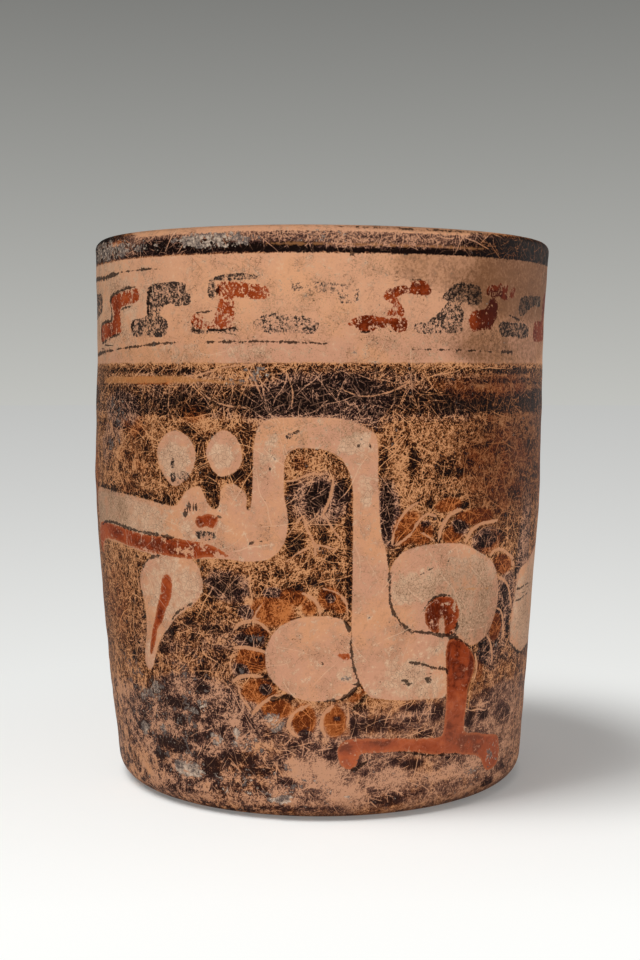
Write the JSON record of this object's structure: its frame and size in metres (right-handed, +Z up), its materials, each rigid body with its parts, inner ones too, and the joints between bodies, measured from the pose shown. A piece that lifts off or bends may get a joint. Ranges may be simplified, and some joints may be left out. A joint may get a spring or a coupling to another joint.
{
  "type": "painted cylindrical vessel",
  "caption": "Tall, nearly cylindrical ceramic drinking vessel with a flat base, a soft heel and a rounded lip, slip-painted outside and open at the top.",
  "frame": {"origin": "middle of the flat underside, on the surface that the vessel stands on", "axes": "+Z up along the vessel; -Y towards the painted side seen first; +X to that viewer's right"},
  "size_m": [0.1469, 0.1454, 0.1714],
  "materials": {
    "base_clay": "burnished unglazed slip, worn brown, with dark stains",
    "painted_slip": "burnished unglazed slip painting in cream, orange, red and brown-black, worn and scratched"
  },
  "bodies": {
    "root": {"base_dish": "base_clay", "wall": "painted_slip"}
  },
  "joints": []
}
